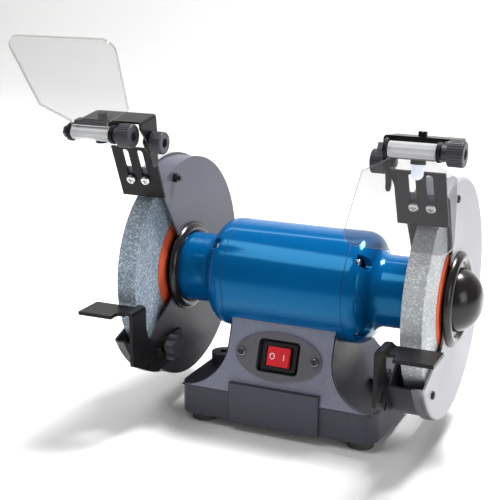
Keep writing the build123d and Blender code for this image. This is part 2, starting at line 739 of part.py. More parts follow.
# ---------------------------------------------------------------- spark plate
def spark_plate():
    """Right-hand spark plate: slotted, with a pivot ear on the motor side."""
    x0, x1 = SPARK_X
    middle = (x0 + x1) / 2
    high = (SPARK_LOW + SPARK_HIGH) / 2
    centre = spark_frame(high, GAP + SPARK_T / 2) * Pos(middle, 0, 0)
    plate = centre * Box(x1 - x0, SPARK_HIGH - SPARK_LOW, SPARK_T)
    for x in SPARK_SCREW_X:
        slot = SlotOverall(SLOT_HIGH + 3 + SLOT_HALF, 2 * SLOT_HALF)
        cut = extrude(Rot(0, 0, 90) * slot, amount=20, both=True)
        plate -= spark_frame((SLOT_HIGH - 3) / 2 - 0.2, 0) * Pos(x, 0, 0) * cut
    a = math.radians(SPARK_ANGLE)
    root = []
    for u in (16, SPARK_HIGH):
        y = SPARK_SCREW[0] - u * math.cos(a) - GAP * math.sin(a)
        z = SPARK_SCREW[1] + u * math.sin(a) - GAP * math.cos(a)
        root.append((y, z))
    tip = (PIVOT_Y - EAR_R * 0.72, PIVOT_Z - EAR_R * 0.70)
    top = (PIVOT_Y + EAR_R * 0.55, PIVOT_Z + EAR_R * 0.83)
    ear = yz_plate([root[0], root[1], top, (PIVOT_Y, PIVOT_Z), tip], x0, x0 + SPARK_T)
    ear += cyl_x(EAR_R, x0, x0 + SPARK_T, PIVOT_Y, PIVOT_Z)
    ear -= cyl_x(2.6, x0 - 1, x0 + 5, PIVOT_Y, PIVOT_Z)
    return lift(plate + ear)


# ---------------------------------------------------------------- lamp and shield heads
def head_frame(tilt):
    """Location of a head: origin on the bracket's pivot, turned by its tilt."""
    return Pos(0, PIVOT_Y, PIVOT_Z) * Rot(-tilt, 0, 0)


def bracket_outline():
    """Side flange of the bracket as (y, z) points about the pivot."""
    top = [(WEB_BACK, WEB_Z + 2), (-WEB_FRONT, WEB_Z + 2), (-WEB_FRONT, WEB_Z - 5)]
    return top + [(-9, 4), (-7, -6), (-2, -20)]


def lamp_bracket(side, tilt):
    """Bent sheet bracket: a web over the lamp and a flange on the motor side."""
    x0 = BRACKET_X
    web = box(x0, WEB_END, -WEB_FRONT, WEB_BACK, WEB_Z, WEB_Z + BRACKET_T)
    web = fillet(web.edges().filter_by(Axis.Z).sort_by(Axis.X)[-2:], 4)
    outline = bracket_outline() + [(8, -20), (WEB_BACK, -6)]
    flange = yz_plate(outline, x0, x0 + BRACKET_T)
    flange += cyl_x(6.2, x0, x0 + BRACKET_T, 3.2, -19.5)
    bracket = web + flange
    corner = box(x0 - 1, x0 + 3, -60, 60, WEB_Z - 1, WEB_Z + 6)
    corner -= Pos(x0 + 3, 0, WEB_Z - 1) * Rot(90, 0, 0) * Cylinder(3, 200)
    bracket -= corner
    bracket -= cyl_x(2.6, x0 - 1, x0 + 5, 0, 0)
    part = bracket if side > 0 else mirrored(bracket)
    slot_x = unit_x(side) + 26
    part -= box(slot_x - 4.6, slot_x + 4.6, -14.2, -9.8, WEB_Z - 1, WEB_Z + 4)
    return lift(head_frame(tilt) * part)


def unit_x(side):
    """Where a head's shield barrel starts along X."""
    return UNIT_RIGHT if side > 0 else UNIT_LEFT


def lamp_housing(side, tilt):
    """Black lamp body under the web, with two ears that carry the shield bolt."""
    x = unit_x(side)
    outline = [(-9.0, WEB_Z - SEAT), (-18.2, WEB_Z - SEAT), (-18.6, 19), (-18.6, 7)]
    outline += [(-16, 4.5), (-9, 4.5), (-7.4, 7), (-7.4, 19)]
    body = yz_plate(outline, x - 3.5, x + BARREL_LEN + 3.5)
    for x0 in (x - 3.5, x + BARREL_LEN + GAP):
        x1 = x0 + 3.5 - GAP
        ear = cyl_x(8.6, x0, x1, -BOLT_FWD, BOLT_UP)
        ear += box(x0, x1, -BOLT_FWD, -14, BOLT_UP - 6, BOLT_UP + 6)
        ear -= cyl_x(SHIELD_BOLT_R + 0.08, x0 - 1, x1 + 1, -BOLT_FWD, BOLT_UP)
        body += ear
    pod = Pos(x + 22, -13, 5) * Cone(6.6, 6.0, 8)
    body += pod
    body -= Pos(x + 22, -13, 1) * Cylinder(5.3, 8)
    slot_x = x + 26
    body -= box(slot_x - 5, slot_x + 5, -14.5, -9.5, WEB_Z - 2, WEB_Z + 1)
    return lift(head_frame(tilt) * body)


def lamp_lens(side, tilt):
    """Clear dome of the lamp, pointing down at the wheel."""
    x = unit_x(side) + 22
    dome = Pos(x, -13, -3) * Cylinder(5.2, 8) + Pos(x, -13, -7) * Sphere(5.2)
    return lift(head_frame(tilt) * dome)


def lamp_switch(side, tilt):
    """Slide button of the lamp on top of the web."""
    x = unit_x(side) + 24
    cap = box(x - 3.4, x + 3.4, -14.8, -9.2, WEB_Z + BRACKET_T + GAP, WEB_Z + BRACKET_T + 4.6)
    cap = fillet(cap.edges().filter_by(Axis.Z), 0.8)
    cap -= box(x - 0.8, x + 0.8, -20, 0, WEB_Z + BRACKET_T + 3.6, WEB_Z + 10)
    stem = box(x - 2.2, x + 2.2, -13.4, -10.6, WEB_Z - 1.4, WEB_Z + BRACKET_T + 1)
    return lift(head_frame(tilt) * (cap + stem))


def bracket_knob(side, tilt):
    """Clamp knob of the bracket on the motor side, with its bolt."""
    knob = knurled_knob(10.6, 101, 113, 30, -1)
    knob += cyl_x(5.5, 112, BRACKET_X - GAP)
    knob += cyl_x(2.5, 112, SPARK_X[0] + SPARK_T + 3)
    knob += hex_x(8, SPARK_X[0] + SPARK_T + GAP, SPARK_X[0] + SPARK_T + 3.2)
    part = knob if side > 0 else mirrored(knob)
    return lift(head_frame(tilt) * part)


def shield_knob(side, tilt):
    """Long bolt through the shield barrel, its end nut and its knurled knob."""
    x = unit_x(side)
    end = x + BARREL_LEN
    bolt = cyl_x(SHIELD_BOLT_R, x - 9.5, end + 8)
    bolt += hex_x(10, x - 8.8, x - 3.5 - GAP)
    bolt += cyl_x(6.2, end + 3.5 + GAP, end + 10)
    bolt += knurled_knob(11, end + 9, end + 23, 30, 1)
    return lift(head_frame(tilt) * Pos(0, -BOLT_FWD, BOLT_UP) * bolt)


def shield(side, tilt, elevation):
    """Clear shield: hinge barrel, chamfered tongue and a plate that widens outwards."""
    middle = BARREL_LEN / 2
    tongue = BARREL_LEN - 2.6
    near, far, shoulder, length = SHIELD_SMALL if side > 0 else SHIELD_LARGE
    root = 8.5 if side > 0 else 13.0
    corner = 12.0
    outline = [(-tongue / 2, 5), (-tongue / 2, root), (-near / 2, shoulder)]
    outline += [(-far / 2, length), (far / 2, length), (near / 2, shoulder)]
    outline += [(tongue / 2, root), (tongue / 2, 5)]
    sheet = extrude(Polygon(*outline, align=None), amount=SHIELD_T / 2, both=True)
    sheet = fillet(sheet.edges().filter_by(Axis.Z).sort_by(Axis.Y)[-2:], corner)
    sheet = Pos(middle, 0, 0) * sheet
    sheet += cyl_x(SHIELD_BARREL_R, GAP, BARREL_LEN - GAP)
    sheet -= cyl_x(SHIELD_BOLT_R + 0.08, -5, BARREL_LEN + 5)
    turn = Rot(180 - elevation + tilt, 0, 0)
    place = Pos(unit_x(side), -BOLT_FWD, BOLT_UP)
    return lift(head_frame(tilt) * place * turn * sheet)


# ---------------------------------------------------------------- tool rests
def tool_rest():
    """Right-hand tool rest: table, joggled neck and a slotted leg beside the guard."""
    leg_x1 = GUARD_X - GAP
    leg_x0 = leg_x1 - REST_T
    top = TABLE_Z + NECK_UP
    under = top - REST_T
    y0, y1 = TABLE_Y
    profile = [(leg_x0, -30), (leg_x0, top - 4), (leg_x0 + 1.2, top - 1.2), (leg_x0 + 4, top)]
    profile += [(127.5, top), (131.5, TABLE_Z), (TABLE_X[1], TABLE_Z)]
    profile += [(TABLE_X[1], TABLE_Z - REST_T), (130.5, TABLE_Z - REST_T), (126.5, under)]
    profile += [(leg_x1 + 1.5, under), (leg_x1, under - 1.5), (leg_x1, -30)]
    strip = extrude(Plane.XZ.offset(-y1) * Polygon(*profile, align=None), amount=y1 - y0, dir=(0, -1, 0))
    strip -= box(100, TABLE_X[0] + 5, y0 - 1, y0 + 8, -60, 0)
    strip -= Pos(TABLE_X[0] + 1, y0 + 8, -15) * Cylinder(4.5, 60)
    lower = [(y0 + 8, -22), (y0 + 8, -68), (-91, -86), (-80, -90), (-52, -86), (-26, -77)]
    lower += [(-26, -60), (-84, -57), (-98, -48), (y1, -38), (y1, -22)]
    leg = yz_plate(lower, leg_x0, leg_x1)
    leg = fillet(leg.edges().filter_by(Axis.X).sort_by(Axis.Z)[:6], 3)
    rest = strip + leg
    middle = (KNOB_POS[0] + GUIDE_POS[0] + REST_TRAVEL) / 2
    length = KNOB_POS[0] - GUIDE_POS[0] + REST_TRAVEL + 6.6
    cut = Plane.YZ.offset(leg_x0 - 5) * Pos(middle, KNOB_POS[1]) * SlotOverall(length, 6.6)
    rest -= extrude(cut, amount=15, dir=(1, 0, 0))
    for y, z in ((-111, -64), (-99, -77)):
        window = Plane.YZ.offset(leg_x0 - 5) * Pos(y, z) * Rot(0, 0, 55) * SlotOverall(11, 4.5)
        rest -= extrude(window, amount=15, dir=(1, 0, 0))
    return lift(rest)


def rest_knob():
    """Right-hand star knob with its stud, clamping the tool rest to the guard."""
    y, z = KNOB_POS
    x1 = GUARD_X - 2 * GAP - REST_T
    knob = cyl_x(9.5, x1 - 12, x1 - 3, y, z)
    for i in range(5):
        a = math.radians(72 * i + 18)
        knob += cyl_x(4.2, x1 - 12, x1 - 4, y + 9.2 * math.cos(a), z + 9.2 * math.sin(a))
    knob += cyl_x(6.5, x1 - 5, x1, y, z)
    knob += cyl_x(3.0, x1 - 5, GUARD_X + GUARD_T + 4.6, y, z)
    return lift(knob)


# ---------------------------------------------------------------- write the pieces
def pieces():
    """Every node of the assembly by name."""
    parts = {
        "base_casting": base_casting(),
        "front_panel": front_panel(),
        "rubber_feet": rubber_feet(),
        "foot_screws": foot_screws(),
        "bottom_cover": bottom_cover(),
        "switch_plate": switch_plate(),
        "switch_plate_screws": switch_plate_screws(),
        "switch_cup": switch_cup(),
        "switch_housing": switch_housing(),
        "switch_rocker": switch_rocker(),
        "run_capacitor": run_capacitor(),
        "terminal_block": terminal_block(),
        "cable_gland": cable_gland(),
        "motor_barrel": motor_barrel(),
        "end_bell_right": end_bell(),
        "end_bell_left": mirrored(end_bell()),
        "through_bolts": through_bolts(),
        "stator_core": stator_core(),
        "stator_windings": stator_windings(),
        "bearing_outer_races": bearing_outer_races(),
        "bearing_inner_races": bearing_inner_races(),
        "spindle_shaft": spindle_shaft(),
        "rotor_core": rotor_core(),
        "wheel_right": grinding_wheel(),
        "wheel_left": mirrored(grinding_wheel()),
        "blotters": blotters(),
        "inner_flanges": inner_flanges(),
        "outer_flanges": outer_flanges(),
        "spindle_nuts": spindle_nuts(),
        "wheel_guard_right": wheel_guard(),
        "wheel_guard_left": mirrored(wheel_guard()),
        "guard_cover_right": guard_cover(),
        "guard_cover_left": mirrored(guard_cover()),
        "guard_caps": guard_caps(),
        "guard_cover_screws": guard_cover_screws(),
        "guard_mount_screws": guard_mount_screws(),
        "spark_screws": spark_screws(),
        "rest_fasteners": rest_fasteners(),
        "guard_collars": guard_collars(),
        "spark_plate_right": spark_plate(),
        "spark_plate_left": mirrored(spark_plate()),
        "tool_rest_right": tool_rest(),
        "tool_rest_left": Pos(0, -REST_OUT_LEFT, 0) * mirrored(tool_rest()),
        "rest_knob_right": rest_knob(),
        "rest_knob_left": mirrored(rest_knob()),
    }
    heads = (("right", 1, TILT_RIGHT, SHIELD_DOWN), ("left", -1, TILT_LEFT, SHIELD_UP))
    for name, side, tilt, elevation in heads:
        parts[f"lamp_bracket_{name}"] = lamp_bracket(side, tilt)
        parts[f"lamp_housing_{name}"] = lamp_housing(side, tilt)
        parts[f"lamp_lens_{name}"] = lamp_lens(side, tilt)
        parts[f"lamp_switch_{name}"] = lamp_switch(side, tilt)
        parts[f"bracket_knob_{name}"] = bracket_knob(side, tilt)
        parts[f"shield_knob_{name}"] = shield_knob(side, tilt)
        parts[f"shield_{name}"] = shield(side, tilt, elevation)
    return parts


for node, part in pieces().items():
    export_step(part, f"parts/{node}.step")
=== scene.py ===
"""Looks of the double-wheel bench grinder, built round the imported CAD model."""
import json
import math

import bmesh
import bpy
from mathutils import Matrix, Vector


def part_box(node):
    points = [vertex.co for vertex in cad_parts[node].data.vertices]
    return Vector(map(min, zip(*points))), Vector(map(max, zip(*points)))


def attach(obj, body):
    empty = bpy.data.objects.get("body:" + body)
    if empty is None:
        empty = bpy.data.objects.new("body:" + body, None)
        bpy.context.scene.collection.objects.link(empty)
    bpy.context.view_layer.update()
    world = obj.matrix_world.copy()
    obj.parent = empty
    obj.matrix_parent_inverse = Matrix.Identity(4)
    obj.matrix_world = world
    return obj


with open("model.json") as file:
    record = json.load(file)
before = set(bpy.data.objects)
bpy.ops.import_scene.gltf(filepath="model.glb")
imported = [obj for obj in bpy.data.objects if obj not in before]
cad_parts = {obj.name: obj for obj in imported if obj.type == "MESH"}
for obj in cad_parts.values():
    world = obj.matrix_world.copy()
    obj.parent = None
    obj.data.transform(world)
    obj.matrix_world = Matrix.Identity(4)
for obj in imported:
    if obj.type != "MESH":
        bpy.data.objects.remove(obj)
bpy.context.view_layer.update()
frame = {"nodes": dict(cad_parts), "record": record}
NODES = frame["nodes"]
SHAFT_Z = 0.145
SHIELD_UP = math.radians(60.0)      # elevation of the raised left shield
SHIELD_DOWN = math.radians(-63.0)   # elevation of the lowered right shield
SHIELD_BARREL_R = 0.0073            # just outside the clear barrel of each shield

LENS_MM = 79.8
SENSOR_MM = 36.0
CAMERA_PLACE = (0.3831, -0.9975, 0.4622)
CAMERA_RIGHT = (0.9148, 0.4038, 0.0065)
CAMERA_UP = (-0.1107, 0.2353, 0.9656)


# ---------------------------------------------------------------- camera
def make_camera():
    """A view from above and to the right of the grinder's front."""
    data = bpy.data.cameras.new("camera")
    data.lens = LENS_MM
    data.sensor_width = SENSOR_MM
    data.clip_start = 0.05
    data.clip_end = 50
    camera = bpy.data.objects.new("camera", data)
    bpy.context.scene.collection.objects.link(camera)
    right = Vector(CAMERA_RIGHT)
    up = Vector(CAMERA_UP)
    back = right.cross(up).normalized()
    up = back.cross(right.normalized())
    turn = Matrix((right.normalized(), up, back)).transposed()
    camera.matrix_world = Matrix.Translation(CAMERA_PLACE) @ turn.to_4x4()
    bpy.context.scene.camera = camera


make_camera()


# ---------------------------------------------------------------- materials
def nodes_of(name):
    """A new material with its node tree and surface shader."""
    material = bpy.data.materials.new(name)
    material.use_nodes = True
    tree = material.node_tree
    return material, tree, tree.nodes["Principled BSDF"]


def add(tree, kind, **sockets):
    """A node with its input values set by socket name."""
    node = tree.nodes.new(kind)
    for key, value in sockets.items():
        node.inputs[key.replace("_", " ")].default_value = value
    return node


def ramp(tree, factor, stops):
    """A colour ramp fed by a factor socket; stops are (position, value or colour)."""
    node = tree.nodes.new("ShaderNodeValToRGB")
    ends = node.color_ramp.elements
    while len(ends) < len(stops):
        ends.new(0.5)
    for element, (place, colour) in zip(ends, stops):
        element.position = place
        element.color = (colour, colour, colour, 1) if isinstance(colour, float) else (*colour, 1)
    tree.links.new(factor, node.inputs["Fac"])
    return node.outputs["Color"]


def shade(colour, amount):
    """A colour made lighter or darker."""
    return tuple(max(0.0, min(1.0, c * amount)) for c in colour)


def coords(tree):
    """Object coordinates in metres."""
    return tree.nodes.new("ShaderNodeTexCoord").outputs["Object"]


def math_node(tree, operation, value, second=None):
    """A maths node's output for a value socket and an optional second number."""
    node = tree.nodes.new("ShaderNodeMath")
    node.operation = operation
    tree.links.new(value, node.inputs[0])
    if second is not None:
        node.inputs[1].default_value = second
    return node.outputs[0]


def noise(tree, scale, detail=3.0, rough=0.55, vector=None):
    """A noise texture's value."""
    node = add(tree, "ShaderNodeTexNoise", Scale=scale, Detail=detail, Roughness=rough)
    tree.links.new(vector or coords(tree), node.inputs["Vector"])
    return node.outputs["Fac"]


def bump(tree, shader, height, strength, distance):
    """Connect a height to the shader's normal, after any bump it already has."""
    node = add(tree, "ShaderNodeBump", Strength=strength, Distance=distance)
    tree.links.new(height, node.inputs["Height"])
    before = shader.inputs["Normal"].links
    if before:
        tree.links.new(before[0].from_socket, node.inputs["Normal"])
    tree.links.new(node.outputs["Normal"], shader.inputs["Normal"])


def by_height(tree, above, below, low, high):
    """Blend from one colour socket to another colour between two heights."""
    apart = tree.nodes.new("ShaderNodeSeparateXYZ")
    tree.links.new(coords(tree), apart.inputs["Vector"])
    span = add(tree, "ShaderNodeMapRange", From_Min=low, From_Max=high)
    tree.links.new(apart.outputs["Z"], span.inputs["Value"])
    return mixed(tree, span.outputs["Result"], below, above)


def facing_out(tree, side):
    """1 outside a guard and 0 inside it; side is the X direction that its flat outside faces."""
    place = tree.nodes.new("ShaderNodeTexCoord")
    from_axis = tree.nodes.new("ShaderNodeVectorMath")
    from_axis.operation = "MULTIPLY_ADD"
    from_axis.inputs[1].default_value = (0.0, 1.0, 1.0)
    from_axis.inputs[2].default_value = (0.1 * side, 0.0, -SHAFT_Z)
    tree.links.new(place.outputs["Object"], from_axis.inputs[0])
    dot = tree.nodes.new("ShaderNodeVectorMath")
    dot.operation = "DOT_PRODUCT"
    tree.links.new(place.outputs["Normal"], dot.inputs[0])
    tree.links.new(from_axis.outputs["Vector"], dot.inputs[1])
    return math_node(tree, "GREATER_THAN", dot.outputs["Value"], 0.0)


def flat_sides(tree):
    """1 on faces square to the spindle, 0 on rims."""
    place = tree.nodes.new("ShaderNodeTexCoord")
    apart = tree.nodes.new("ShaderNodeSeparateXYZ")
    tree.links.new(place.outputs["Normal"], apart.inputs["Vector"])
    size = math_node(tree, "ABSOLUTE", apart.outputs["X"])
    return ramp(tree, size, [(0.55, 0.0), (0.85, 1.0)])


def mixed(tree, factor, low, high, blend="MIX"):
    """Blend two colour sockets or plain colours by a factor socket or number."""
    mix = tree.nodes.new("ShaderNodeMix")
    mix.data_type = "RGBA"
    mix.blend_type = blend
    if isinstance(factor, float):
        mix.inputs[0].default_value = factor
    else:
        tree.links.new(factor, mix.inputs[0])
    for value, place in ((low, 6), (high, 7)):
        if isinstance(value, tuple):
            mix.inputs[place].default_value = (*value, 1)
        else:
            tree.links.new(value, mix.inputs[place])
    return mix.outputs[2]


# Near black painted on the faces inside a guard, as painted shade.
GUARD_INSIDE_SHADE = (0.012, 0.012, 0.014)
COAT_ROUGHNESS = 0.06


def paint(
    name,
    colour,
    rough,
    grain=900.0,
    grain_depth=0.00004,
    mottle=0.06,
    coat=0.0,
    metallic=0.0,
    dust=0.06,
    painted_shade_foot=None,
    speckle=0.0,
    guard_side=0,
    rim=None,
    gloss=0.5,
    sheen=(1.0, 1.0, 1.0),
):
    """Painted or moulded surface: grain in the skin, faint mottling, specks and rubbed edges.

    The foot colour (colour, low, high) is painted shade that darkens the surface towards the bottom,
    fading in between two heights; a guard side paints shade on the faces inside a guard.
    """
    material, tree, shader = nodes_of(name)
    large = noise(tree, 22.0, 5.0)
    fine = noise(tree, grain, 2.0)
    base = ramp(tree, large, [(0.25, shade(colour, 1 - mottle)), (0.75, shade(colour, 1 + mottle))])
    if speckle:
        specks = ramp(tree, fine, [(0.35, 1 - speckle), (0.65, 1 + speckle)])
        base = mixed(tree, 1.0, base, specks, "MULTIPLY")
    # Painted shade: the rims, or else the whole surface, fade to a darker colour towards the bottom.
    if rim:
        painted_shade_rim = by_height(tree, rim, *painted_shade_foot)
        base = mixed(tree, flat_sides(tree), painted_shade_rim, base)
    elif painted_shade_foot:
        base = by_height(tree, base, *painted_shade_foot)
    # Painted shade: faces inside a guard turn near black.
    if guard_side:
        base = mixed(tree, facing_out(tree, guard_side), GUARD_INSIDE_SHADE, base)
    geometry = tree.nodes.new("ShaderNodeNewGeometry")
    edge = ramp(tree, geometry.outputs["Pointiness"], [(0.46, 0.0), (0.5, 0.35), (0.56, 1.0)])
    amount = math_node(tree, "MULTIPLY", edge, dust * 3)
    tree.links.new(mixed(tree, amount, base, shade(colour, 1.5)), shader.inputs["Base Color"])
    wear = ramp(tree, large, [(0.2, rough * 0.85), (0.8, min(1.0, rough * 1.2))])
    tree.links.new(wear, shader.inputs["Roughness"])
    shader.inputs["Metallic"].default_value = metallic
    shader.inputs["Specular IOR Level"].default_value = gloss
    shader.inputs["Specular Tint"].default_value = (*sheen, 1)
    shader.inputs["Coat Weight"].default_value = coat
    shader.inputs["Coat Roughness"].default_value = COAT_ROUGHNESS
    bump(tree, shader, fine, 0.6, grain_depth)
    return material


def metal(name, colour, rough, brushed=60.0, lay=(1.0, 14.0, 14.0), depth=0.00002):
    """Bare or plated metal with a directional machining grain and slight staining."""
    material, tree, shader = nodes_of(name)
    mapping = add(tree, "ShaderNodeMapping", Scale=lay)
    tree.links.new(coords(tree), mapping.inputs["Vector"])
    lines = noise(tree, brushed, 4.0, 0.6, mapping.outputs["Vector"])
    stain = noise(tree, 30.0, 4.0)
    tone = ramp(tree, stain, [(0.3, shade(colour, 0.82)), (0.7, shade(colour, 1.08))])
    tree.links.new(tone, shader.inputs["Base Color"])
    wear = ramp(tree, lines, [(0.3, rough * 0.7), (0.7, min(1.0, rough * 1.35))])
    tree.links.new(wear, shader.inputs["Roughness"])
    shader.inputs["Metallic"].default_value = 1.0
    bump(tree, shader, lines, 0.5, depth)
    return material


def abrasive(name, dark, light):
    """Bonded abrasive: coloured grains, small pores and a rough face."""
    material, tree, shader = nodes_of(name)
    grain = add(tree, "ShaderNodeTexVoronoi", Scale=750.0)
    tree.links.new(coords(tree), grain.inputs["Vector"])
    cell = tree.nodes.new("ShaderNodeSeparateColor")
    tree.links.new(grain.outputs["Color"], cell.inputs["Color"])
    middle = tuple((a + b) / 2 for a, b in zip(dark, light))
    stops = [(0.0, dark), (0.45, middle), (0.8, light), (1.0, shade(light, 1.45))]
    colours = ramp(tree, cell.outputs["Red"], stops)
    worn = noise(tree, 35.0, 6.0)
    faded = ramp(tree, worn, [(0.25, 0.62), (0.7, 1.0)])
    tree.links.new(mixed(tree, 0.5, colours, faded, "MULTIPLY"), shader.inputs["Base Color"])
    shader.inputs["Roughness"].default_value = 0.92
    bump(tree, shader, grain.outputs["Distance"], 0.5, 0.0002)
    bump(tree, shader, noise(tree, 1500.0, 2.0), 0.5, 0.0001)
    return material


def near_axis(tree, y, z, radius):
    """1 within a radius of a line along X."""
    place = tree.nodes.new("ShaderNodeTexCoord")
    offset = tree.nodes.new("ShaderNodeVectorMath")
    offset.operation = "MULTIPLY_ADD"
    offset.inputs[1].default_value = (0.0, 1.0, 1.0)
    offset.inputs[2].default_value = (0.0, -y, -z)
    tree.links.new(place.outputs["Object"], offset.inputs[0])
    size = tree.nodes.new("ShaderNodeVectorMath")
    size.operation = "LENGTH"
    tree.links.new(offset.outputs["Vector"], size.inputs[0])
    return math_node(tree, "LESS_THAN", size.outputs["Value"], radius)


# Painted highlight: the clear barrel of each shield gets a light colour and more opacity for its silvery
# glints.
BARREL_HIGHLIGHT_TINT = (0.85, 0.86, 0.88)
BARREL_HIGHLIGHT_ALPHA = 0.42
CUT_EDGE_ALPHA = 0.62


def blended(tree, factor, low, high):
    """Blend two value sockets or numbers by a factor socket."""
    mix = tree.nodes.new("ShaderNodeMix")
    tree.links.new(factor, mix.inputs[0])
    for value, place in ((low, 2), (high, 3)):
        if isinstance(value, float):
            mix.inputs[place].default_value = value
        else:
            tree.links.new(value, mix.inputs[place])
    return mix.outputs[0]


def clear(name, tint, alpha, edge_tint, across, barrel, rough=0.03):
    """Clear plastic: a faint tint, hairline scratches, darker cut edges and a barrel lightened as a
    painted highlight.

    across is the sheet's normal; barrel is the (y, z) of the line that the barrel turns about.
    """
    material, tree, shader = nodes_of(name)
    place = tree.nodes.new("ShaderNodeTexCoord")
    mapping = add(tree, "ShaderNodeMapping", Scale=(8.0, 160.0, 60.0), Rotation=(0.5, 0.3, 0.7))
    tree.links.new(place.outputs["Object"], mapping.inputs["Vector"])
    hair = noise(tree, 9.0, 6.0, 0.7, mapping.outputs["Vector"])
    tree.links.new(ramp(tree, hair, [(0.55, rough), (0.8, rough + 0.1)]), shader.inputs["Roughness"])
    shader.inputs["IOR"].default_value = 1.5
    smudge = noise(tree, 18.0, 4.0)
    film_and_painted_shade = ramp(tree, smudge, [(0.35, alpha * 0.92), (0.75, alpha * 1.08)])
    dot = tree.nodes.new("ShaderNodeVectorMath")
    dot.operation = "DOT_PRODUCT"
    dot.inputs[1].default_value = across
    tree.links.new(place.outputs["Normal"], dot.inputs[0])
    size = math_node(tree, "ABSOLUTE", dot.outputs["Value"])
    edge = ramp(tree, size, [(0.6, 0.0), (0.9, 1.0)])
    # Painted highlight mask: the barrel around the line that the shield turns about.
    highlight_tube = near_axis(tree, *barrel, SHIELD_BARREL_R)
    colours = mixed(tree, highlight_tube, mixed(tree, edge, edge_tint, tint), BARREL_HIGHLIGHT_TINT)
    tree.links.new(colours, shader.inputs["Base Color"])
    sheet = blended(tree, edge, CUT_EDGE_ALPHA, film_and_painted_shade)
    tree.links.new(blended(tree, highlight_tube, sheet, BARREL_HIGHLIGHT_ALPHA), shader.inputs["Alpha"])
    bump(tree, shader, smudge, 0.1, 0.0003)
    return material


def lit_lens(name, colour, power):
    """The lit lamp lens: a soft, slightly uneven glow."""
    material, tree, shader = nodes_of(name)
    glow = ramp(tree, noise(tree, 120.0, 2.0), [(0.3, shade(colour, 0.85)), (0.6, colour)])
    tree.links.new(glow, shader.inputs["Emission Color"])
    shader.inputs["Emission Strength"].default_value = power
    shader.inputs["Base Color"].default_value = (*colour, 1)
    shader.inputs["Roughness"].default_value = 0.1
    bump(tree, shader, noise(tree, 400.0, 2.0), 0.2, 0.0001)
    return material


MATERIALS = {}


